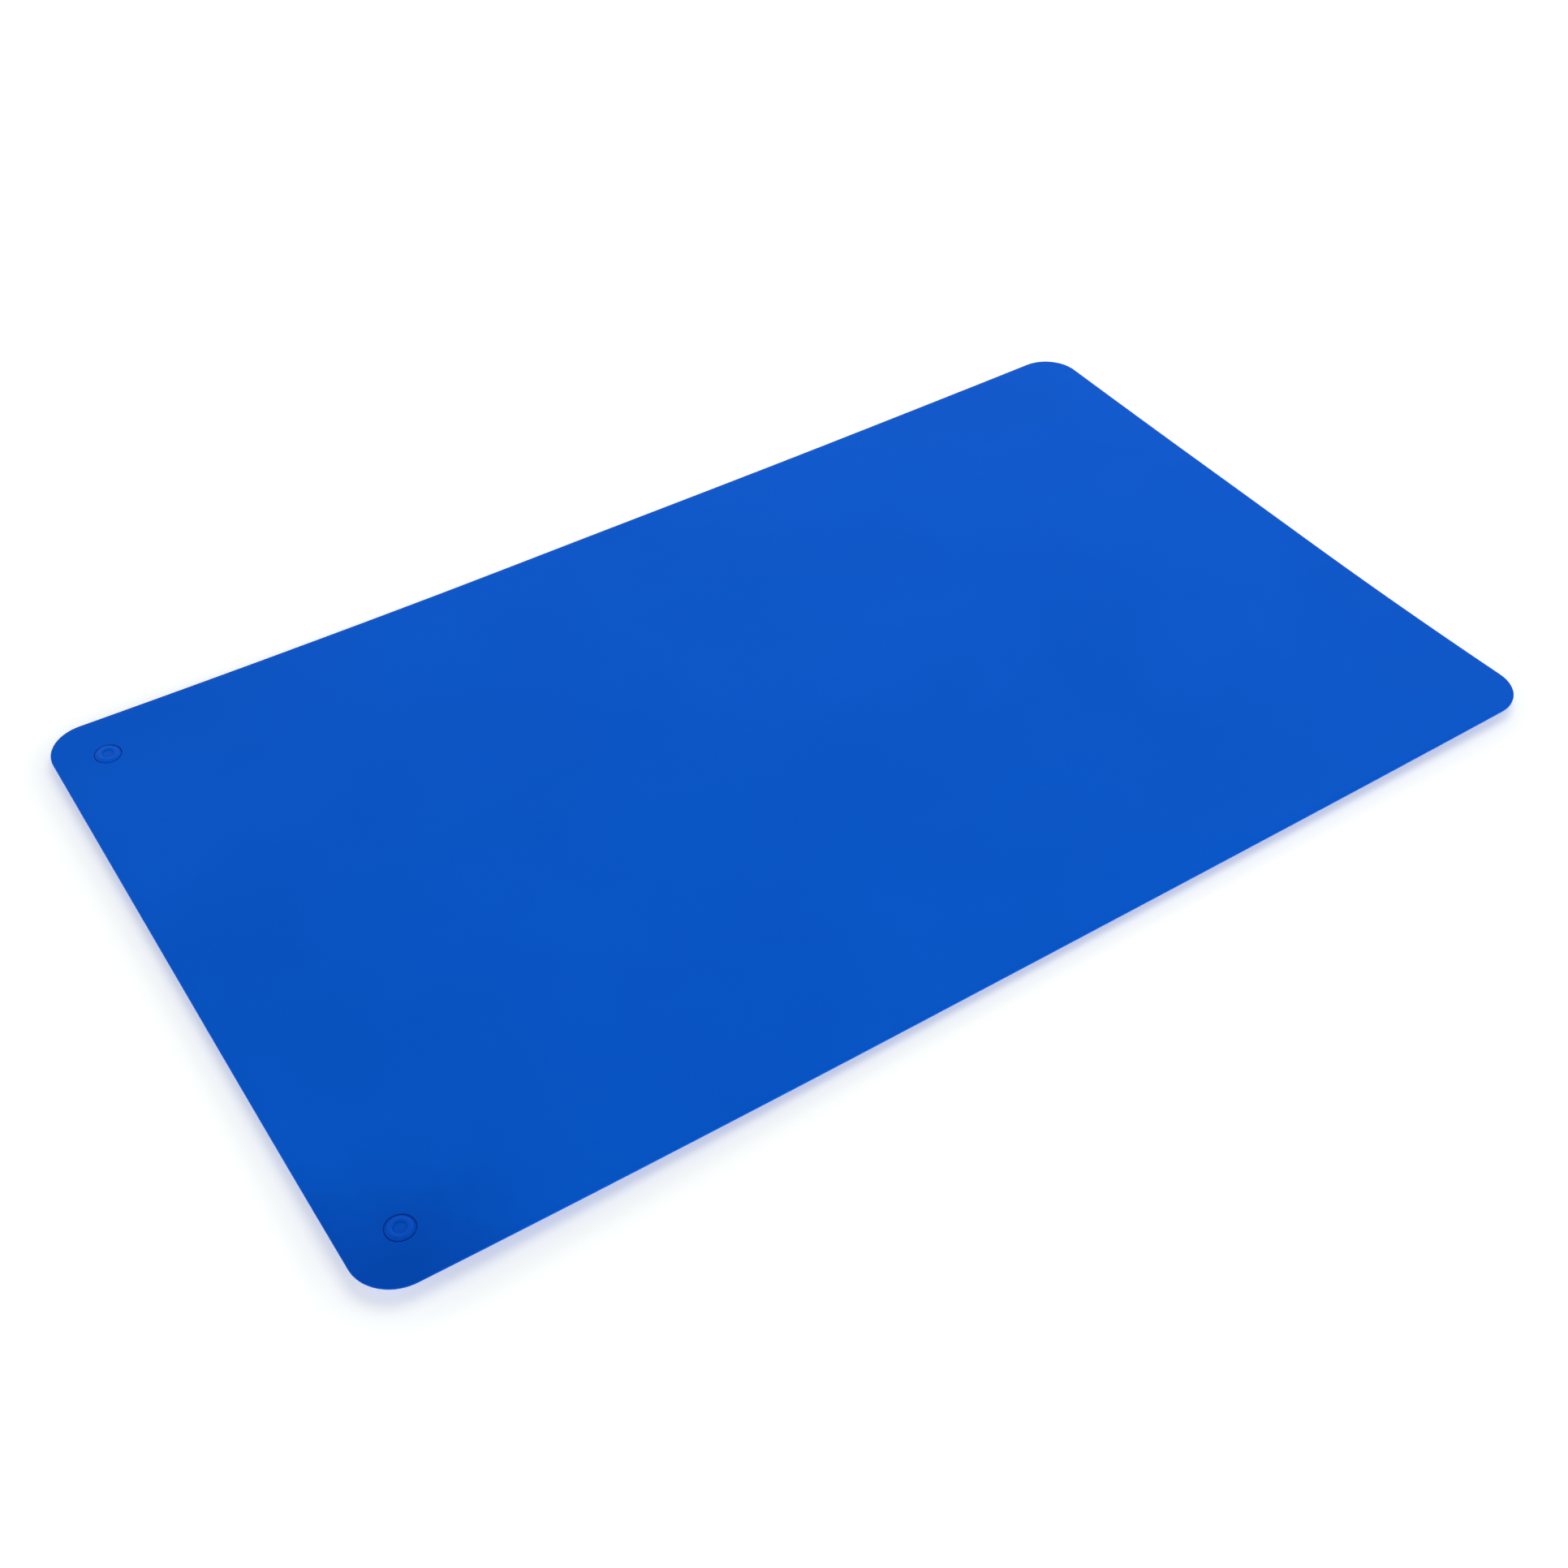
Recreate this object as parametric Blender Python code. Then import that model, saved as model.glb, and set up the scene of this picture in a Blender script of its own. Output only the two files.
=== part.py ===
"""A thin, flexible blue work mat with rounded corners and two press-through studs at one short side.

Frame: metres, +Z up. The origin is under the middle of the mat, at the level of the table it lies on.
+X runs along the length, away from the two studs, and +Y across the width, away from the front.

The sheet is cut flat and keeps a gentle set from being stored rolled: its middle lies on the table
and its ends and sides rise a few millimetres. Each stud is two pieces, a head with a raised ring whose
post passes through the sheet from above, and a washer that the post holds against the underside.
"""

import math

import bmesh
import bpy
from mathutils import Matrix, Vector

# Driving dimensions: the sheet.
MAT_LENGTH = 0.500
MAT_WIDTH = 0.300
MAT_THICKNESS = 0.001
CORNER_RADIUS = 0.016

# The sheet's set. The middle of the mat is flat out to these distances from the centre.
FLAT_HALF_LENGTH = 0.050
FLAT_HALF_WIDTH = 0.030
STUD_END_LIFT = 0.0036
FAR_END_LIFT = 0.0018
FRONT_SIDE_LIFT = 0.0029
BACK_SIDE_LIFT = 0.0006
BEND_CELL_X = 0.025
BEND_CELL_Y = 0.015

# The studs. Heights are along the stud's own axis, from the underside of the sheet.
STUD_END_INSET = 0.0198
STUD_SIDE_INSET = 0.0210
HEAD_RADIUS = 0.0049
FLANGE_THICKNESS = 0.00040
FLANGE_SINK = 0.00010
BEAD_RADIUS = 0.00325
BEAD_FLAT_HALF = 0.00025
BEAD_WALL = 0.00055
BEAD_HEIGHT = 0.00045
POST_RADIUS = 0.0020
BARB_RADIUS = 0.0023
BARB_LENGTH = 0.0006
BARB_CHAMFER = 0.0003
WASHER_RADIUS = 0.0042
WASHER_THICKNESS = 0.0010
WASHER_EDGE_ROUND = 0.0004

# Clearances between touching pieces.
SIDE_GAP = 0.0003
FACE_GAP = 0.0001
BORE_GAP = 0.00015

CORNER_STEPS = 12
ROUND_STEPS = 4
TURN_SEGMENTS = 48
CUTTER_OVERRUN = 0.003

SHEET_BLUE = (0.001, 0.098, 0.605, 1.0)
STUD_BLUE = (0.001, 0.088, 0.600, 1.0)

STUD_PLACES = {
    "front": (STUD_END_INSET - MAT_LENGTH / 2, STUD_SIDE_INSET - MAT_WIDTH / 2),
    "back": (STUD_END_INSET - MAT_LENGTH / 2, MAT_WIDTH / 2 - STUD_SIDE_INSET),
}


def clear_scene():
    for obj in list(bpy.data.objects):
        bpy.data.objects.remove(obj, do_unlink=True)


def plastic(name, color, roughness):
    material = bpy.data.materials.new(name)
    material.use_nodes = True
    shader = material.node_tree.nodes["Principled BSDF"]
    shader.inputs["Base Color"].default_value = color
    shader.inputs["Roughness"].default_value = roughness
    shader.inputs["Metallic"].default_value = 0.0
    return material


def rise(distance, flat_half, half):
    """How far up its curve a point is, from 0 at the end of the flat middle to 1 at the edge."""
    return (max(abs(distance) - flat_half, 0.0) / (half - flat_half)) ** 2


def set_height(x, y):
    """Height of the sheet's underside over the table at (x, y)."""
    end_lift = STUD_END_LIFT if x < 0 else FAR_END_LIFT
    side_lift = FRONT_SIDE_LIFT if y < 0 else BACK_SIDE_LIFT
    along = rise(x, FLAT_HALF_LENGTH, MAT_LENGTH / 2)
    across = rise(y, FLAT_HALF_WIDTH, MAT_WIDTH / 2)
    return end_lift * along + side_lift * across


def surface_pose(x, y):
    """The place and tilt of something that sits square on the sheet at (x, y)."""
    step = 1e-4
    slope_x = (set_height(x + step, y) - set_height(x - step, y)) / (2 * step)
    slope_y = (set_height(x, y + step) - set_height(x, y - step)) / (2 * step)
    normal = Vector((-slope_x, -slope_y, 1.0)).normalized()
    tilt = Vector((0, 0, 1)).rotation_difference(normal)
    return Matrix.Translation((x, y, set_height(x, y))) @ tilt.to_matrix().to_4x4()


def arc(center, radii, start, end, steps):
    """Points on an arc of an ellipse with these half axes, between two angles in degrees."""
    points = []
    for index in range(steps + 1):
        angle = math.radians(start + (end - start) * index / steps)
        points.append((center[0] + radii[0] * math.cos(angle), center[1] + radii[1] * math.sin(angle)))
    return points


def rounded_rectangle(length, width, radius):
    """Outline of the sheet, counterclockwise from the front right corner."""
    x = length / 2 - radius
    y = width / 2 - radius
    outline = []
    for center, start in (((x, -y), -90), ((x, y), 0), ((-x, y), 90), ((-x, -y), 180)):
        outline += arc(center, (radius, radius), start, start + 90, CORNER_STEPS)
    return outline


def cut_lines(flat_half, half, cell):
    """Distances from the centre of the lines at which the sheet bends, outside its flat middle."""
    count = round((half - flat_half) / cell)
    distances = [flat_half + cell * index for index in range(count)]
    return distances + [-distance for distance in distances]


def link(name, mesh, material):
    obj = bpy.data.objects.new(name, mesh)
    bpy.context.scene.collection.objects.link(obj)
    if material is not None:
        mesh.materials.append(material)
    mesh.shade_smooth()
    mesh.set_sharp_from_angle(angle=math.radians(30))
    return obj


def mesh_from(bm, name):
    bmesh.ops.recalc_face_normals(bm, faces=bm.faces[:])
    mesh = bpy.data.meshes.new(name)
    bm.to_mesh(mesh)
    bm.free()
    return mesh


def divide(bm, axis, distance):
    """Adds a line of edges where a plane square to the axis crosses the mesh."""
    geometry = bm.verts[:] + bm.edges[:] + bm.faces[:]
    bmesh.ops.bisect_plane(bm, geom=geometry, dist=1e-6, plane_co=axis * distance, plane_no=axis)


def make_sheet(material):
    bm = bmesh.new()
    outline = rounded_rectangle(MAT_LENGTH, MAT_WIDTH, CORNER_RADIUS)
    underside = bm.faces.new([bm.verts.new((x, y, 0.0)) for x, y in outline])
    top = bmesh.ops.extrude_face_region(bm, geom=[underside])
    raised = [item for item in top["geom"] if isinstance(item, bmesh.types.BMVert)]
    bmesh.ops.translate(bm, verts=raised, vec=(0, 0, MAT_THICKNESS))
    for distance in cut_lines(FLAT_HALF_LENGTH, MAT_LENGTH / 2, BEND_CELL_X):
        divide(bm, Vector((1, 0, 0)), distance)
    for distance in cut_lines(FLAT_HALF_WIDTH, MAT_WIDTH / 2, BEND_CELL_Y):
        divide(bm, Vector((0, 1, 0)), distance)
    for vertex in bm.verts:
        vertex.co.z += set_height(vertex.co.x, vertex.co.y)
    return link("mat_sheet", mesh_from(bm, "mat_sheet"), material)


def turned_mesh(name, profile, is_ring):
    """Turns a profile of (radius, height) points round +Z. A ring's profile closes on itself."""
    bm = bmesh.new()
    rows = []
    for radius, height in profile:
        if radius == 0:
            rows.append([bm.verts.new((0, 0, height))])
            continue
        row = []
        for index in range(TURN_SEGMENTS):
            angle = 2 * math.pi * index / TURN_SEGMENTS
            row.append(bm.verts.new((radius * math.cos(angle), radius * math.sin(angle), height)))
        rows.append(row)
    pairs = list(zip(rows, rows[1:]))
    if is_ring:
        pairs.append((rows[-1], rows[0]))
    for low, high in pairs:
        for index in range(TURN_SEGMENTS):
            after = (index + 1) % TURN_SEGMENTS
            if len(low) == 1:
                bm.faces.new((low[0], high[index], high[after]))
            elif len(high) == 1:
                bm.faces.new((low[index], low[after], high[0]))
            else:
                bm.faces.new((low[index], low[after], high[after], high[index]))
    return mesh_from(bm, name)


def head_profile():
    """From the tip of the post up its side, out under the flange, over its ring bead and to the axis."""
    flange_top = MAT_THICKNESS - FLANGE_SINK
    under_head = flange_top - FLANGE_THICKNESS
    barb_top = -(2 * FACE_GAP + WASHER_THICKNESS)
    tip = barb_top - BARB_LENGTH
    wall = (BEAD_WALL, BEAD_HEIGHT)
    points = [(0, tip), (BARB_RADIUS - BARB_CHAMFER, tip), (BARB_RADIUS, tip + BARB_CHAMFER)]
    points += [(BARB_RADIUS, barb_top), (POST_RADIUS, barb_top), (POST_RADIUS, under_head)]
    points += [(HEAD_RADIUS, under_head), (HEAD_RADIUS, flange_top)]
    points += arc((BEAD_RADIUS + BEAD_FLAT_HALF, flange_top), wall, 0, 90, ROUND_STEPS)
    points += arc((BEAD_RADIUS - BEAD_FLAT_HALF, flange_top), wall, 90, 180, ROUND_STEPS)
    return points + [(0, flange_top)]


def washer_profile():
    """The washer's section, from its bore at the bottom, with its lower outer edge rounded."""
    top = -FACE_GAP
    bottom = top - WASHER_THICKNESS
    bore = POST_RADIUS + BORE_GAP
    center = (WASHER_RADIUS - WASHER_EDGE_ROUND, bottom + WASHER_EDGE_ROUND)
    points = [(bore, bottom)]
    points += arc(center, (WASHER_EDGE_ROUND, WASHER_EDGE_ROUND), -90, 0, ROUND_STEPS)
    return points + [(WASHER_RADIUS, top), (bore, top)]


def seat_profile():
    """What a stud takes out of the sheet: a clearance hole, and above it a seat for the head."""
    hole = BARB_RADIUS
    seat = HEAD_RADIUS + SIDE_GAP
    seat_floor = MAT_THICKNESS - FLANGE_SINK - FLANGE_THICKNESS - FACE_GAP
    high = MAT_THICKNESS + CUTTER_OVERRUN
    points = [(0, -CUTTER_OVERRUN), (hole, -CUTTER_OVERRUN), (hole, seat_floor)]
    return points + [(seat, seat_floor), (seat, high), (0, high)]


def make_stud(side, sheet, meshes, material):
    """One stud, parented to an empty that stands square on the sheet, and its seat in the sheet."""
    anchor = bpy.data.objects.new(f"stud_{side}_axis", None)
    bpy.context.scene.collection.objects.link(anchor)
    anchor.matrix_world = surface_pose(*STUD_PLACES[side])
    for piece in ("head", "washer"):
        obj = link(f"stud_{piece}_{side}", meshes[piece].copy(), material)
        obj.parent = anchor
    cutter = link(f"stud_seat_cutter_{side}", meshes["seat"].copy(), None)
    cutter.parent = anchor
    cutter.hide_render = True
    cutter.display_type = "WIRE"
    seat = sheet.modifiers.new(f"seat_{side}", "BOOLEAN")
    seat.operation = "DIFFERENCE"
    seat.solver = "EXACT"
    seat.object = cutter


def main():
    clear_scene()
    sheet = make_sheet(plastic("sheet_blue", SHEET_BLUE, 0.55))
    stud_blue = plastic("stud_blue", STUD_BLUE, 0.40)
    meshes = {
        "head": turned_mesh("stud_head", head_profile(), is_ring=False),
        "washer": turned_mesh("stud_washer", washer_profile(), is_ring=True),
        "seat": turned_mesh("stud_seat", seat_profile(), is_ring=False),
    }
    for side in STUD_PLACES:
        make_stud(side, sheet, meshes, stud_blue)


main()
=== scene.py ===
"""Looks of the thin blue work mat: its fine sheet, its two studs, their materials, the table and the light.

Places and sizes are in metres, in the frame of the CAD part: the origin is under the middle of the mat,
+X runs along its length away from the studs, +Y across its width to the back, and +Z up.
"""

import math

import bmesh
import bpy
from mathutils import Matrix, Vector, noise


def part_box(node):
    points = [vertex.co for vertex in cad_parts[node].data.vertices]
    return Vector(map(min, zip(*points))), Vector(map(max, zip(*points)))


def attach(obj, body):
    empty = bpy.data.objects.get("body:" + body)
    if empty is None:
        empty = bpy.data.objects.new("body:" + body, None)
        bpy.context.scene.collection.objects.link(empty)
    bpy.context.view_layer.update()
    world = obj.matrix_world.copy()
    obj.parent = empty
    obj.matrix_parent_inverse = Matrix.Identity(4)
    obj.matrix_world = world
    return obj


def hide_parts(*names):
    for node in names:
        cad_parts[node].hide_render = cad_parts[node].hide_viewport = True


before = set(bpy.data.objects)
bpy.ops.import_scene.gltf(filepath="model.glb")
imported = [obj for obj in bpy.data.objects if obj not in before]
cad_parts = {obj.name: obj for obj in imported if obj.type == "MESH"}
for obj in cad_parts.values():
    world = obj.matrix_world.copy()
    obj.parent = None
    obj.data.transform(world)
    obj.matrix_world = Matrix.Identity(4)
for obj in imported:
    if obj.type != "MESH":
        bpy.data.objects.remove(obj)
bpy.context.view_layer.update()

# The sheet, from the CAD node's own box.
SHEET_LOW, SHEET_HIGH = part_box("mat_sheet")
MAT_LENGTH = SHEET_HIGH.x - SHEET_LOW.x
MAT_WIDTH = SHEET_HIGH.y - SHEET_LOW.y

# What the box doesn't say, as in the CAD part.
MAT_THICKNESS = 0.001
CORNER_RADIUS = 0.016
FLAT_HALF_LENGTH = 0.050
FLAT_HALF_WIDTH = 0.030
STUD_END_LIFT = 0.0036
FAR_END_LIFT = 0.0018
FRONT_SIDE_LIFT = 0.0029
BACK_SIDE_LIFT = 0.0006

# The fine sheet: the round of its edge, and the cells of its grid.
EDGE_ROUND = 0.00035
EDGE_ROUND_STEPS = 5
CELL = 0.005
CORNER_CELLS = 8

# Its unevenness, which starts where the sheet leaves the table, reaches its full height a third of the
# way up the rise, and stays clear of the studs.
WAVE_HEIGHT = 0.00010
WAVE_LENGTH = 0.085
WAVE_SLICE = 3.7
WAVE_GAIN = 3.0
WAVE_STUD_GAP = 0.008
WAVE_STUD_FADE = 0.020

# The studs, as in the CAD part. Heights are along the stud's axis, from the underside of the sheet.
STUD_END_INSET = 0.0198
STUD_SIDE_INSET = 0.0210
HEAD_RADIUS = 0.0049
FLANGE_THICKNESS = 0.00040
FLANGE_SINK = 0.00010
BEAD_RADIUS = 0.00325
BEAD_FLAT_HALF = 0.00025
BEAD_WALL = 0.00055
BEAD_HEIGHT = 0.00045
POST_RADIUS = 0.0020
BARB_RADIUS = 0.0023
BARB_LENGTH = 0.0006
BARB_CHAMFER = 0.0003
WASHER_RADIUS = 0.0042
WASHER_THICKNESS = 0.0010
WASHER_EDGE_ROUND = 0.0004
SIDE_GAP = 0.0003
FACE_GAP = 0.0001
BORE_GAP = 0.00015

# Detail that only the fine studs and their seats have. Angles are in degrees.
SEAT_LIP_ROUND = 0.00030
SEAT_LIP_END_ANGLE = 95
SMALL_ROUND = 0.00012
GATE_RADIUS = 0.00055
GATE_HEIGHT = 0.00006
GATE_START_ANGLE = 15
TURN_SEGMENTS = 96
FINE_STEPS = 7
CUTTER_OVERRUN = 0.003
SHARP_ANGLE = 35

STUD_PLACES = {
    "front": (SHEET_LOW.x + STUD_END_INSET, SHEET_LOW.y + STUD_SIDE_INSET),
    "back": (SHEET_LOW.x + STUD_END_INSET, SHEET_HIGH.y - STUD_SIDE_INSET),
}

# Camera. Its angles are in degrees, and its lens and sensor in millimetres.
CAMERA_PLACE = (-0.3273, -0.4966, 0.5452)
CAMERA_AZIMUTH = 33.07
CAMERA_DOWN = 44.08
CAMERA_ROLL = -0.30
CAMERA_LENS = 47.22
CAMERA_SENSOR = 36.0
CAMERA_CLIP_START = 0.01
CAMERA_CLIP_END = 100.0

# Stage and light. The floor glows a little, like a light table, which softens the shadows from below,
# and glows more far off, so that it meets the white walls without a line. The change comes between the
# near and the far distance from the glow's centre. The glow is faintly green, which keeps the shadows
# from turning violet under so much blue.
FLOOR_HALF = 12.0
FLOOR_DROP = 0.00005
GLOW_COLOR = (0.95, 1.0, 0.97, 1.0)
FLOOR_GLOW = 0.347
FAR_GLOW = 0.95
GLOW_CENTER = (0.15, 0.10, 0.0)
GLOW_NEAR = 0.34
GLOW_FAR = 0.95
SOFTBOX_PLACE = (0.36, 0.16, 1.07)
SOFTBOX_SIZE = 1.1
SOFTBOX_POWER = 6.0

# The white walls stop where a line of sight climbs past these slopes, each given as its unit vector's Z.
WALL_GLOW = 2.24
CEILING_GLOW = 0.02
WALL_TOP_START = 0.44
WALL_TOP_END = 0.56


def rise(distance, flat_half, half):
    """How far up its curve a point is, from 0 at the end of the flat middle to 1 at the edge."""
    return (max(abs(distance) - flat_half, 0.0) / (half - flat_half)) ** 2


def set_height(x, y):
    """Height of the sheet's underside over the table at (x, y), as in the CAD part."""
    end_lift = STUD_END_LIFT if x < 0 else FAR_END_LIFT
    side_lift = FRONT_SIDE_LIFT if y < 0 else BACK_SIDE_LIFT
    along = rise(x, FLAT_HALF_LENGTH, MAT_LENGTH / 2)
    across = rise(y, FLAT_HALF_WIDTH, MAT_WIDTH / 2)
    return end_lift * along + side_lift * across


def surface_pose(x, y):
    """The place and tilt of something that sits square on the sheet at (x, y)."""
    step = 1e-4
    slope_x = (set_height(x + step, y) - set_height(x - step, y)) / (2 * step)
    slope_y = (set_height(x, y + step) - set_height(x, y - step)) / (2 * step)
    normal = Vector((-slope_x, -slope_y, 1.0)).normalized()
    tilt = Vector((0, 0, 1)).rotation_difference(normal)
    return Matrix.Translation((x, y, set_height(x, y))) @ tilt.to_matrix().to_4x4()


def waviness(x, y):
    """A faint unevenness of the sheet where it is clear of the table and of the studs."""
    along = rise(x, FLAT_HALF_LENGTH, MAT_LENGTH / 2)
    across = rise(y, FLAT_HALF_WIDTH, MAT_WIDTH / 2)
    free = min(1.0, WAVE_GAIN * (along + across))
    for stud_x, stud_y in STUD_PLACES.values():
        distance = math.hypot(x - stud_x, y - stud_y)
        free *= min(1.0, max(0.0, (distance - WAVE_STUD_GAP) / WAVE_STUD_FADE))
    return WAVE_HEIGHT * free * noise.noise(Vector((x / WAVE_LENGTH, y / WAVE_LENGTH, WAVE_SLICE)))


# ---------------------------------------------------------------- meshes


def add_object(name, mesh, material):
    obj = bpy.data.objects.new(name, mesh)
    bpy.context.scene.collection.objects.link(obj)
    if material is not None:
        mesh.materials.append(material)
    return obj


def finish_mesh(bm, name):
    bmesh.ops.recalc_face_normals(bm, faces=bm.faces[:])
    mesh = bpy.data.meshes.new(name)
    bm.to_mesh(mesh)
    bm.free()
    mesh.shade_smooth()
    return mesh


def grid_stops(half, radius):
    """Distances of the sheet's grid lines from the centre: fine over the corners, even in between."""
    inner = half - radius
    count = max(2, round(2 * inner / CELL))
    middle = [-inner + 2 * inner * index / count for index in range(count + 1)]
    corner = [inner + radius * index / CORNER_CELLS for index in range(1, CORNER_CELLS + 1)]
    return [-stop for stop in reversed(corner)] + middle + corner


def round_corner(x, y, half_x, half_y, radius):
    """A point of a square corner moved into the rounded one, and the outward direction there."""
    over_x = max(abs(x) - (half_x - radius), 0.0) / radius
    over_y = max(abs(y) - (half_y - radius), 0.0) / radius
    pulled_x = over_x * math.sqrt(1 - over_y**2 / 2)
    pulled_y = over_y * math.sqrt(1 - over_x**2 / 2)
    new_x = math.copysign(abs(x) + (pulled_x - over_x) * radius, x)
    new_y = math.copysign(abs(y) + (pulled_y - over_y) * radius, y)
    outward = Vector((math.copysign(pulled_x, x), math.copysign(pulled_y, y)))
    return new_x, new_y, outward.normalized() if outward.length > 0 else outward


def rim_of(rows):
    """The outer loop of a grid of rows, in order."""
    last_row = len(rows) - 1
    last = len(rows[0]) - 1
    loop = [(0, column) for column in range(last)]
    loop += [(row, last) for row in range(last_row)]
    loop += [(last_row, column) for column in range(last, 0, -1)]
    return loop + [(row, 0) for row in range(last_row, 0, -1)]


def build_sheet():
    """The sheet with a round edge: a fine grid above and below, joined by loops round the edge."""
    half_x = MAT_LENGTH / 2 - EDGE_ROUND
    half_y = MAT_WIDTH / 2 - EDGE_ROUND
    radius = CORNER_RADIUS - EDGE_ROUND
    bm = bmesh.new()

    def place(x, y, level):
        return bm.verts.new((x, y, level + set_height(x, y) + waviness(x, y)))

    stops_x = grid_stops(half_x, radius)
    stops_y = grid_stops(half_y, radius)
    points = [[round_corner(x, y, half_x, half_y, radius) for x in stops_x] for y in stops_y]
    grids = {}
    for level in (0.0, MAT_THICKNESS):
        rows = [[place(x, y, level) for x, y, _ in row] for row in points]
        grids[level] = rows
        for low, high in zip(rows, rows[1:]):
            for index in range(len(low) - 1):
                bm.faces.new((low[index], low[index + 1], high[index + 1], high[index]))
    rim = rim_of(points)
    loops = [[grids[0.0][row][column] for row, column in rim]]
    angles = [-90 + 90 * index / EDGE_ROUND_STEPS for index in range(1, EDGE_ROUND_STEPS + 1)]
    profile = [(angle, EDGE_ROUND) for angle in angles]
    profile += [(-angle, MAT_THICKNESS - EDGE_ROUND) for angle in reversed(angles)]
    for angle, center in profile:
        out = EDGE_ROUND * math.cos(math.radians(angle))
        level = center + EDGE_ROUND * math.sin(math.radians(angle))
        loop = []
        for row, column in rim:
            x, y, outward = points[row][column]
            loop.append(place(x + outward.x * out, y + outward.y * out, level))
        loops.append(loop)
    loops.append([grids[MAT_THICKNESS][row][column] for row, column in rim])
    for low, high in zip(loops, loops[1:]):
        for index in range(len(rim)):
            after = (index + 1) % len(rim)
            bm.faces.new((low[index], low[after], high[after], high[index]))
    return finish_mesh(bm, "sheet")


def arc(center, radii, start, end, steps):
    """Points on an arc of an ellipse with these half axes, between two angles in degrees."""
    points = []
    for index in range(steps + 1):
        angle = math.radians(start + (end - start) * index / steps)
        points.append((center[0] + radii[0] * math.cos(angle), center[1] + radii[1] * math.sin(angle)))
    return points


def turned_mesh(name, profile, is_ring):
    """Turns a profile of (radius, height) points round +Z. A ring's profile closes on itself."""
    bm = bmesh.new()
    rows = []
    for radius, height in profile:
        if radius == 0:
            rows.append([bm.verts.new((0, 0, height))])
            continue
        row = []
        for index in range(TURN_SEGMENTS):
            angle = 2 * math.pi * index / TURN_SEGMENTS
            row.append(bm.verts.new((radius * math.cos(angle), radius * math.sin(angle), height)))
        rows.append(row)
    pairs = list(zip(rows, rows[1:]))
    if is_ring:
        pairs.append((rows[-1], rows[0]))
    for low, high in pairs:
        for index in range(TURN_SEGMENTS):
            after = (index + 1) % TURN_SEGMENTS
            if len(low) == 1:
                bm.faces.new((low[0], high[index], high[after]))
            elif len(high) == 1:
                bm.faces.new((low[index], low[after], high[0]))
            else:
                bm.faces.new((low[index], low[after], high[after], high[index]))
    mesh = finish_mesh(bm, name)
    mesh.set_sharp_from_angle(angle=math.radians(SHARP_ANGLE))
    return mesh


def head_profile():
    """The CAD head, with a rounded barb and flange, and the small raised gate mark of its mould."""
    flange_top = MAT_THICKNESS - FLANGE_SINK
    under_head = flange_top - FLANGE_THICKNESS
    barb_top = -(2 * FACE_GAP + WASHER_THICKNESS)
    tip = barb_top - BARB_LENGTH
    small = (SMALL_ROUND, SMALL_ROUND)
    wall = (BEAD_WALL, BEAD_HEIGHT)
    tip_round = (BARB_CHAMFER, BARB_CHAMFER)
    gate_round = (GATE_HEIGHT, GATE_HEIGHT)
    points = [(0, tip)]
    points += arc((BARB_RADIUS - BARB_CHAMFER, tip + BARB_CHAMFER), tip_round, -90, 0, FINE_STEPS)
    points += arc((BARB_RADIUS - SMALL_ROUND, barb_top - SMALL_ROUND), small, 0, 90, FINE_STEPS)
    points += [(POST_RADIUS, barb_top), (POST_RADIUS, under_head)]
    points += arc((HEAD_RADIUS - SMALL_ROUND, under_head + SMALL_ROUND), small, -90, 0, FINE_STEPS)
    points += arc((HEAD_RADIUS - SMALL_ROUND, flange_top - SMALL_ROUND), small, 0, 90, FINE_STEPS)
    points += arc((BEAD_RADIUS + BEAD_FLAT_HALF, flange_top), wall, 0, 90, 2 * FINE_STEPS)
    points += arc((BEAD_RADIUS - BEAD_FLAT_HALF, flange_top), wall, 90, 180, 2 * FINE_STEPS)
    points += [(GATE_RADIUS, flange_top)]
    points += arc((GATE_RADIUS - GATE_HEIGHT, flange_top), gate_round, GATE_START_ANGLE, 90, FINE_STEPS)
    return points + [(0, flange_top + GATE_HEIGHT)]


def washer_profile():
    """The CAD washer, with all four edges rounded."""
    top = -FACE_GAP
    bottom = top - WASHER_THICKNESS
    bore = POST_RADIUS + BORE_GAP
    small = (SMALL_ROUND, SMALL_ROUND)
    edge_center = (WASHER_RADIUS - WASHER_EDGE_ROUND, bottom + WASHER_EDGE_ROUND)
    points = arc((bore + SMALL_ROUND, bottom + SMALL_ROUND), small, 180, 270, FINE_STEPS)
    points += arc(edge_center, (WASHER_EDGE_ROUND, WASHER_EDGE_ROUND), -90, 0, FINE_STEPS)
    points += arc((WASHER_RADIUS - SMALL_ROUND, top - SMALL_ROUND), small, 0, 90, FINE_STEPS)
    return points + arc((bore + SMALL_ROUND, top - SMALL_ROUND), small, 90, 180, FINE_STEPS)


def seat_profile():
    """What a stud takes out of the sheet: a hole, a seat for the head, and a rounded lip round it."""
    hole = BARB_RADIUS
    seat = HEAD_RADIUS + SIDE_GAP
    seat_floor = MAT_THICKNESS - FLANGE_SINK - FLANGE_THICKNESS - FACE_GAP
    high = MAT_THICKNESS + CUTTER_OVERRUN
    lip_center = (seat + SEAT_LIP_ROUND, MAT_THICKNESS - SEAT_LIP_ROUND)
    lip_round = (SEAT_LIP_ROUND, SEAT_LIP_ROUND)
    points = [(0, -CUTTER_OVERRUN), (hole, -CUTTER_OVERRUN), (hole, seat_floor), (seat, seat_floor)]
    points += arc(lip_center, lip_round, 180, SEAT_LIP_END_ANGLE, FINE_STEPS)
    return points + [(seat + SEAT_LIP_ROUND, high), (0, high)]


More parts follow.
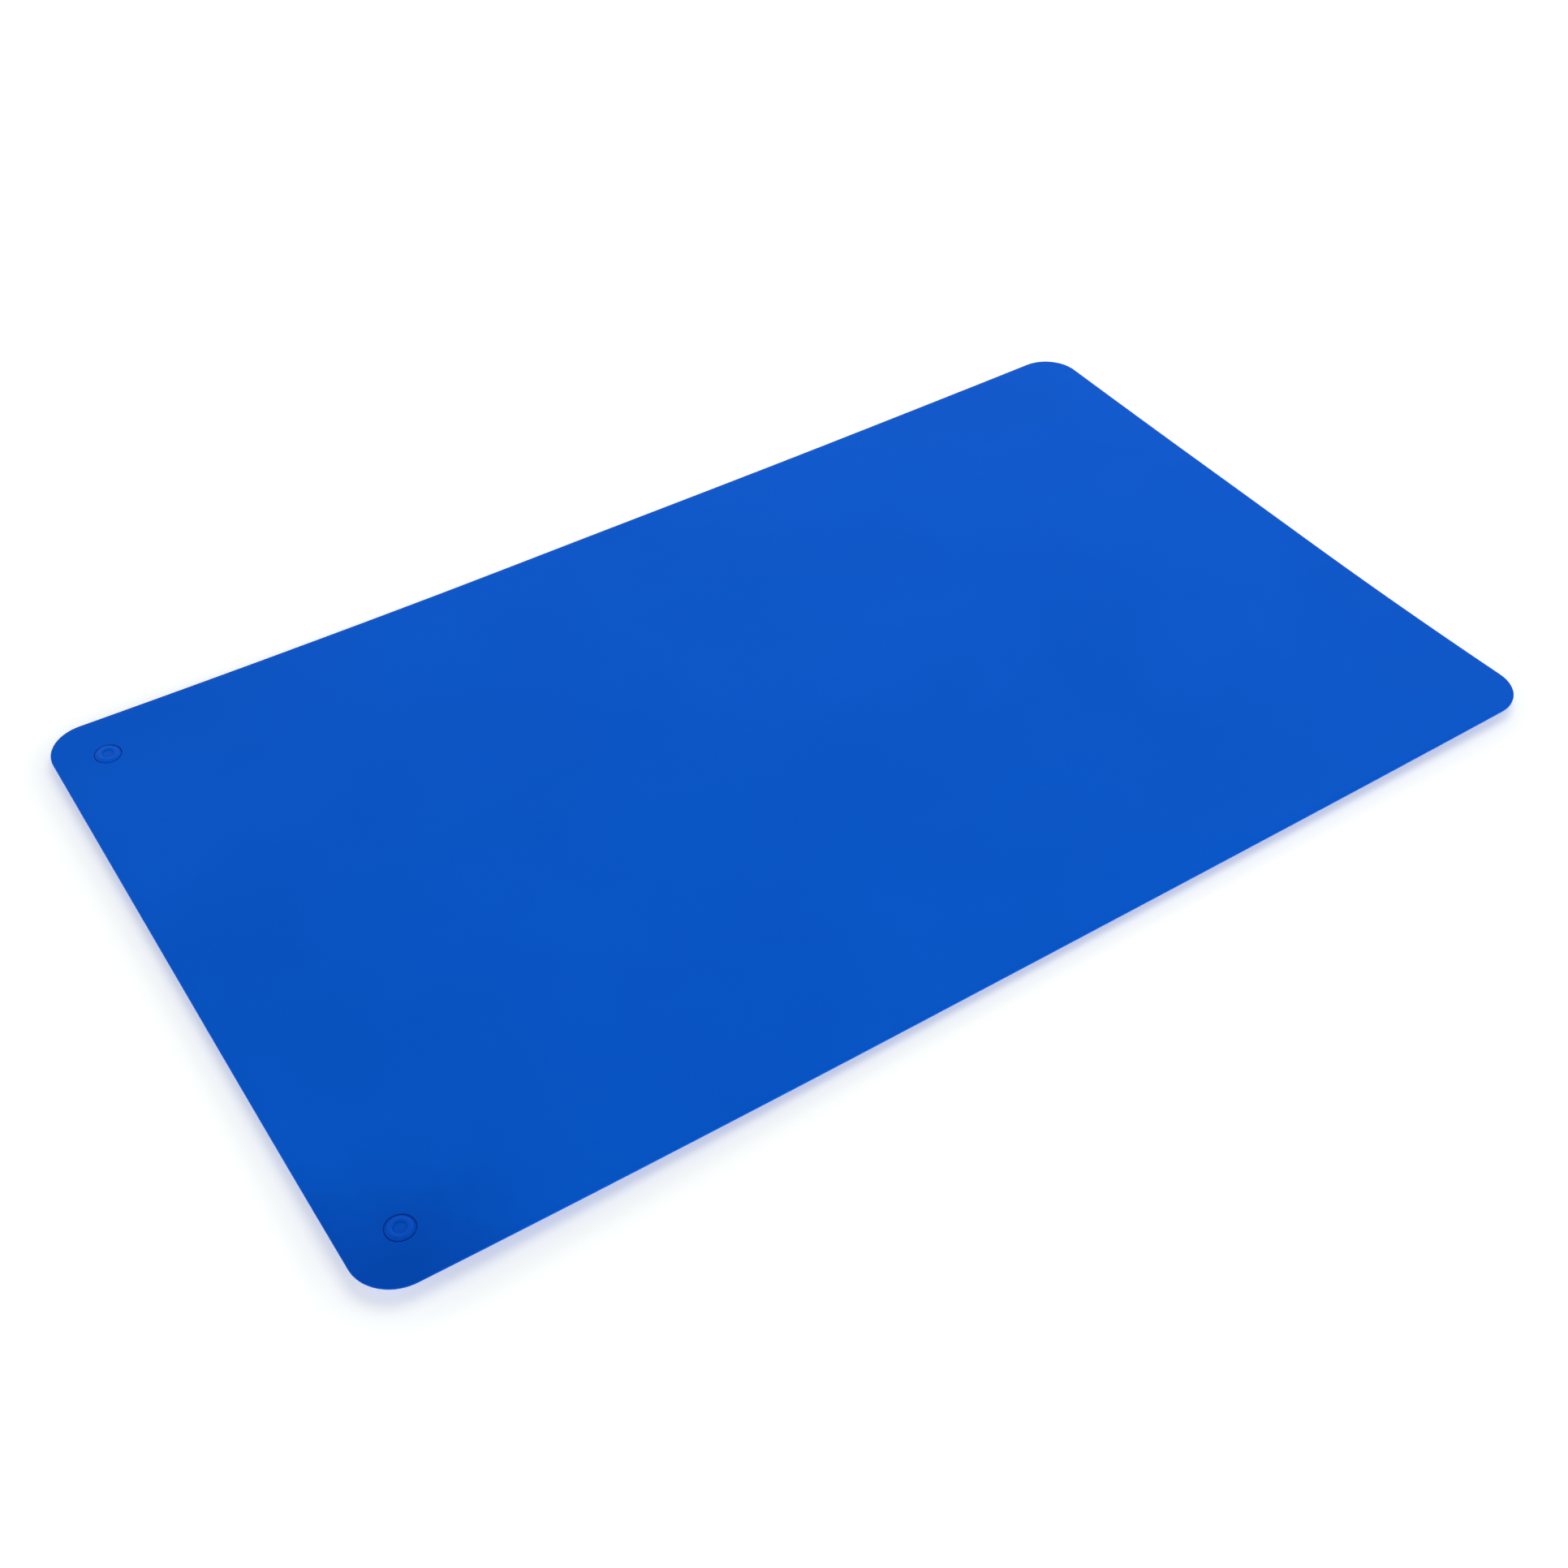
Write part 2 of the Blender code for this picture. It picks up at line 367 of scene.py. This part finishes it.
def apply_modifiers(obj):
    """Puts the object's modified shape in its mesh."""
    graph = bpy.context.evaluated_depsgraph_get()
    mesh = bpy.data.meshes.new_from_object(obj.evaluated_get(graph))
    obj.modifiers.clear()
    obj.data = mesh


def cut_stud_seats(sheet):
    """Takes the two seats out of the sheet, and leaves the result in its mesh."""
    cutters = []
    for side, spot in STUD_PLACES.items():
        seat = turned_mesh("seat", seat_profile(), is_ring=False)
        cutter = add_object(f"seat_cutter_{side}", seat, None)
        cutter.matrix_world = surface_pose(*spot)
        cut = sheet.modifiers.new(f"seat_{side}", "BOOLEAN")
        cut.operation = "DIFFERENCE"
        cut.solver = "EXACT"
        cut.object = cutter
        cutters.append(cutter)
    bpy.context.view_layer.update()
    apply_modifiers(sheet)
    for cutter in cutters:
        bpy.data.objects.remove(cutter)
    sheet.data.set_sharp_from_angle(angle=math.radians(SHARP_ANGLE))


# ---------------------------------------------------------------- materials


# Places of the colour sockets on a Mix node, whose sockets share their names.
MIX_COLOR_A = 6
MIX_COLOR_B = 7
MIX_COLOR_RESULT = 2


class Nodes:
    """A material's node tree, with its Principled shader, and short calls to add and join nodes."""

    def __init__(self, name):
        self.material = bpy.data.materials.new(name)
        self.material.use_nodes = True
        self.tree = self.material.node_tree
        self.shader = self.tree.nodes["Principled BSDF"]
        self.coordinates = self.tree.nodes.new("ShaderNodeTexCoord").outputs["Object"]

    def add(self, kind, settings=None, **inputs):
        """A new node, with its settings made and its named inputs fed."""
        node = self.tree.nodes.new(kind)
        for key, value in (settings or {}).items():
            setattr(node, key, value)
        for key, value in inputs.items():
            self.feed(node.inputs[key.replace("_", " ")], value)
        return node

    def feed(self, socket, value):
        """Links another node's output to the socket, or sets the socket's own value."""
        if isinstance(value, bpy.types.NodeSocket):
            self.tree.links.new(value, socket)
        else:
            socket.default_value = value

    def noise(self, scale, detail=2.0, crispness=0.5, stretch=(1.0, 1.0, 1.0)):
        """Noise with features about 1 / scale metres across."""
        mapping = self.add("ShaderNodeMapping", Vector=self.coordinates, Scale=stretch)
        texture = self.add("ShaderNodeTexNoise", Vector=mapping.outputs["Vector"], Scale=scale)
        texture.inputs["Detail"].default_value = detail
        texture.inputs["Roughness"].default_value = crispness
        return texture.outputs["Fac"]

    def ramp(self, value, span, result, shape="LINEAR"):
        """Turns a value that crosses the span into one that crosses the result, and holds it at the ends."""
        node = self.add("ShaderNodeMapRange", {"interpolation_type": shape}, Value=value)
        node.inputs["From Min"].default_value = span[0]
        node.inputs["From Max"].default_value = span[1]
        node.inputs["To Min"].default_value = result[0]
        node.inputs["To Max"].default_value = result[1]
        return node.outputs["Result"]

    def distance_from(self, place):
        node = self.add("ShaderNodeVectorMath", {"operation": "DISTANCE"})
        self.feed(node.inputs[0], self.coordinates)
        self.feed(node.inputs[1], place)
        return node.outputs["Value"]

    def calculate(self, operation, first, second):
        node = self.add("ShaderNodeMath", {"operation": operation})
        self.feed(node.inputs[0], first)
        self.feed(node.inputs[1], second)
        return node.outputs["Value"]

    def mix_color(self, factor, first, second):
        node = self.add("ShaderNodeMix", {"data_type": "RGBA"})
        self.feed(node.inputs["Factor"], factor)
        self.feed(node.inputs[MIX_COLOR_A], first)
        self.feed(node.inputs[MIX_COLOR_B], second)
        return node.outputs[MIX_COLOR_RESULT]

    def bump(self, height, distance, strength):
        node = self.add("ShaderNodeBump", Height=height, Distance=distance, Strength=strength)
        return node.outputs["Normal"]


# Texture scales are in features per metre, and reliefs in metres.

# The range that noise mostly keeps to, and the part of it where one patch of tone turns into another.
NOISE_SPAN = (0.3, 0.7)
PATCH_SPAN = (0.35, 0.65)

SHEET_BLUE = (0.0013, 0.101, 0.618, 1.0)
SHEET_BLUE_DEEP = (0.0011, 0.095, 0.592, 1.0)
SHEET_NOISE_DETAIL = 3.0
SHEET_CLOUD_SCALE = 11.0
SHEET_FLECK_SCALE = 900.0
SHEET_FLECK_SPAN = (0.62, 0.80)
SHEET_FLECK_SHARE = 0.5
SHEET_SMEAR_SCALE = 26.0
SHEET_SMEAR_STRETCH = (1.0, 2.6, 1.0)
SHEET_ROUGHNESS = (0.54, 0.60)
SHEET_GRAIN_SCALE = 2600.0
SHEET_GRAIN_CRISPNESS = 0.6
SHEET_PEBBLE_SCALE = 1700.0
SHEET_PEBBLE_SHARE = 0.6
SHEET_RELIEF = 0.00003
SHEET_RELIEF_STRENGTH = 0.5
SHEET_SPECULAR = 0.02

# Painted shade: the corner by the front stud is darker, with a soft and slightly uneven border.
PAINTED_SHADE_BLUE = (0.0008, 0.070, 0.475, 1.0)
PAINTED_SHADE_INSET = 0.007
PAINTED_SHADE_CORNER = (SHEET_LOW.x + PAINTED_SHADE_INSET, SHEET_LOW.y + PAINTED_SHADE_INSET, SHEET_HIGH.z)
PAINTED_SHADE_REACH = 0.062
PAINTED_SHADE_PATCH_SCALE = 60.0
PAINTED_SHADE_PATCH_SIZE = 0.006

# Each stud has the tone of the sheet round it, painted shade included: the two are shaded and lit copies of
# one blue, the front one darker as painted shade and the back one a little lighter as painted light. Its
# deeper patches are this share of that tone.
STUD_BLUES_WITH_PAINTED_SHADE = {
    "front": (0.0012, 0.086, 0.575, 1.0),
    "back": (0.0012, 0.104, 0.640, 1.0),
}
STUD_PATCH_SHARE = 0.95
STUD_CLOUD_SCALE = 420.0
STUD_SMEAR_SCALE = 700.0
STUD_ROUGHNESS = (0.36, 0.46)
STUD_GRAIN_SCALE = 5200.0
STUD_RELIEF = 0.000012
STUD_RELIEF_STRENGTH = 0.4
STUD_SPECULAR = 0.06

BLUE_GLOSS = (0.02, 0.35, 1.0, 1.0)

FLOOR_WHITE = (0.80, 0.80, 0.80, 1.0)
FLOOR_WHITE_LIGHT = (0.81, 0.81, 0.81, 1.0)
FLOOR_CLOUD_SCALE = 3.0
FLOOR_ROUGHNESS = 0.9
FLOOR_SPECULAR = 0.1


def sheet_material():
    """Matt blue rubber sheet with a fine moulded grain, a little uneven in tone and in gloss, with painted
    shade darkening the corner by the front stud.
    """
    nodes = Nodes("sheet_rubber")
    cloud = nodes.ramp(nodes.noise(SHEET_CLOUD_SCALE, SHEET_NOISE_DETAIL), PATCH_SPAN, (0.0, 1.0))
    fleck = nodes.ramp(nodes.noise(SHEET_FLECK_SCALE), SHEET_FLECK_SPAN, (0.0, SHEET_FLECK_SHARE))
    tone = nodes.mix_color(cloud, SHEET_BLUE, SHEET_BLUE_DEEP)
    tone = nodes.mix_color(fleck, tone, SHEET_BLUE_DEEP)
    # Painted shade: the corner by the front stud is mixed towards a darker blue, with a soft and slightly
    # uneven border.
    patch_limits = (-PAINTED_SHADE_PATCH_SIZE, PAINTED_SHADE_PATCH_SIZE)
    patchy = nodes.ramp(nodes.noise(PAINTED_SHADE_PATCH_SCALE), NOISE_SPAN, patch_limits)
    reach = nodes.calculate("ADD", nodes.distance_from(PAINTED_SHADE_CORNER), patchy)
    painted_shade = nodes.ramp(reach, (0.0, PAINTED_SHADE_REACH), (1.0, 0.0), "SMOOTHSTEP")
    nodes.feed(nodes.shader.inputs["Base Color"], nodes.mix_color(painted_shade, tone, PAINTED_SHADE_BLUE))
    smear = nodes.noise(SHEET_SMEAR_SCALE, SHEET_NOISE_DETAIL, stretch=SHEET_SMEAR_STRETCH)
    nodes.feed(nodes.shader.inputs["Roughness"], nodes.ramp(smear, NOISE_SPAN, SHEET_ROUGHNESS))
    grain = nodes.noise(SHEET_GRAIN_SCALE, SHEET_NOISE_DETAIL, SHEET_GRAIN_CRISPNESS)
    rounded = {"feature": "SMOOTH_F1"}
    pebble = nodes.add("ShaderNodeTexVoronoi", rounded, Vector=nodes.coordinates, Scale=SHEET_PEBBLE_SCALE)
    pebbles = nodes.calculate("MULTIPLY", pebble.outputs["Distance"], SHEET_PEBBLE_SHARE)
    relief = nodes.calculate("ADD", pebbles, grain)
    nodes.feed(nodes.shader.inputs["Normal"], nodes.bump(relief, SHEET_RELIEF, SHEET_RELIEF_STRENGTH))
    nodes.shader.inputs["Specular Tint"].default_value = BLUE_GLOSS
    nodes.shader.inputs["Specular IOR Level"].default_value = SHEET_SPECULAR
    return nodes.material


def stud_material(side):
    """Satin moulded plastic in the blue of the sheet round the stud, a darker copy as painted shade at the
    front stud, a little uneven in tone.
    """
    nodes = Nodes(f"stud_plastic_{side}")
    # Painted shade and light: the front stud's blue is a darker copy and the back stud's a lighter one.
    blue = STUD_BLUES_WITH_PAINTED_SHADE[side]
    deep = [STUD_PATCH_SHARE * part for part in blue[:3]] + [1.0]
    cloud = nodes.ramp(nodes.noise(STUD_CLOUD_SCALE), PATCH_SPAN, (0.0, 1.0))
    nodes.feed(nodes.shader.inputs["Base Color"], nodes.mix_color(cloud, blue, deep))
    smear = nodes.noise(STUD_SMEAR_SCALE)
    nodes.feed(nodes.shader.inputs["Roughness"], nodes.ramp(smear, NOISE_SPAN, STUD_ROUGHNESS))
    grain = nodes.noise(STUD_GRAIN_SCALE)
    nodes.feed(nodes.shader.inputs["Normal"], nodes.bump(grain, STUD_RELIEF, STUD_RELIEF_STRENGTH))
    nodes.shader.inputs["Specular Tint"].default_value = BLUE_GLOSS
    nodes.shader.inputs["Specular IOR Level"].default_value = STUD_SPECULAR
    return nodes.material


def floor_material():
    """Matt white, very slightly uneven, with a glow that grows with distance from the mat."""
    nodes = Nodes("floor_white")
    cloud = nodes.noise(FLOOR_CLOUD_SCALE)
    white = nodes.mix_color(cloud, FLOOR_WHITE, FLOOR_WHITE_LIGHT)
    nodes.feed(nodes.shader.inputs["Base Color"], white)
    nodes.shader.inputs["Roughness"].default_value = FLOOR_ROUGHNESS
    nodes.shader.inputs["Specular IOR Level"].default_value = FLOOR_SPECULAR
    nodes.shader.inputs["Emission Color"].default_value = GLOW_COLOR
    distance = nodes.distance_from(GLOW_CENTER)
    glow = nodes.ramp(distance, (GLOW_NEAR, GLOW_FAR), (FLOOR_GLOW, FAR_GLOW), "SMOOTHSTEP")
    nodes.feed(nodes.shader.inputs["Emission Strength"], glow)
    return nodes.material


# ---------------------------------------------------------------- pieces


def make_sheet():
    """The sheet, with its seats cut."""
    sheet = add_object("sheet", build_sheet(), sheet_material())
    cut_stud_seats(sheet)
    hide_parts("mat_sheet")
    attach(sheet, "root")


def make_studs():
    """A head and a washer at each place, square on the sheet there."""
    profiles = {"head": (head_profile(), False), "washer": (washer_profile(), True)}
    for side, spot in STUD_PLACES.items():
        material = stud_material(side)
        for piece, (profile, is_ring) in profiles.items():
            name = f"{piece}_{side}"
            obj = add_object(name, turned_mesh(name, profile, is_ring), material)
            obj.matrix_world = surface_pose(*spot)
            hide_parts(f"stud_{piece}_{side}")
            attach(obj, "root")


# ---------------------------------------------------------------- stage, light and camera


def make_floor():
    """A wide table top, a hair under the mat."""
    bm = bmesh.new()
    corners = [(-1, -1), (1, -1), (1, 1), (-1, 1)]
    bm.faces.new([bm.verts.new((x * FLOOR_HALF, y * FLOOR_HALF, -FLOOR_DROP)) for x, y in corners])
    floor = add_object("floor", finish_mesh(bm, "floor"), floor_material())


def make_softbox():
    """A round soft lamp over the mat, which shines straight down."""
    lamp = bpy.data.lights.new("softbox", "AREA")
    lamp.shape = "DISK"
    lamp.size = SOFTBOX_SIZE
    lamp.energy = SOFTBOX_POWER
    softbox = bpy.data.objects.new("softbox", lamp)
    bpy.context.scene.collection.objects.link(softbox)
    softbox.location = SOFTBOX_PLACE


def make_surround():
    """White studio walls all round, which fade into a dark ceiling."""
    world = bpy.data.worlds.new("studio")
    world.use_nodes = True
    tree = world.node_tree
    direction = tree.nodes.new("ShaderNodeTexCoord")
    split = tree.nodes.new("ShaderNodeSeparateXYZ")
    fade = tree.nodes.new("ShaderNodeMapRange")
    fade.interpolation_type = "SMOOTHSTEP"
    fade.inputs["From Min"].default_value = WALL_TOP_START
    fade.inputs["From Max"].default_value = WALL_TOP_END
    fade.inputs["To Min"].default_value = WALL_GLOW
    fade.inputs["To Max"].default_value = CEILING_GLOW
    tree.links.new(direction.outputs["Generated"], split.inputs["Vector"])
    tree.links.new(split.outputs["Z"], fade.inputs["Value"])
    background = tree.nodes["Background"]
    background.inputs["Color"].default_value = (1.0, 1.0, 1.0, 1.0)
    tree.links.new(fade.outputs["Result"], background.inputs["Strength"])
    bpy.context.scene.world = world


def make_camera():
    """The camera, from its place, the way it looks and its lens."""
    data = bpy.data.cameras.new("camera")
    data.sensor_width = CAMERA_SENSOR
    data.lens = CAMERA_LENS
    data.clip_start = CAMERA_CLIP_START
    data.clip_end = CAMERA_CLIP_END
    camera = bpy.data.objects.new("camera", data)
    bpy.context.scene.collection.objects.link(camera)
    turn = Matrix.Rotation(-math.radians(CAMERA_AZIMUTH), 4, "Z")
    tilt = Matrix.Rotation(math.radians(90 - CAMERA_DOWN), 4, "X")
    roll = Matrix.Rotation(math.radians(CAMERA_ROLL), 4, "Z")
    camera.matrix_world = Matrix.Translation(CAMERA_PLACE) @ turn @ tilt @ roll
    bpy.context.scene.camera = camera


def show_plain_colors():
    """Shows colours as they are lit, without a film look."""
    bpy.context.scene.view_settings.view_transform = "Standard"


make_sheet()
make_studs()
make_floor()
make_softbox()
make_surround()
make_camera()
show_plain_colors()
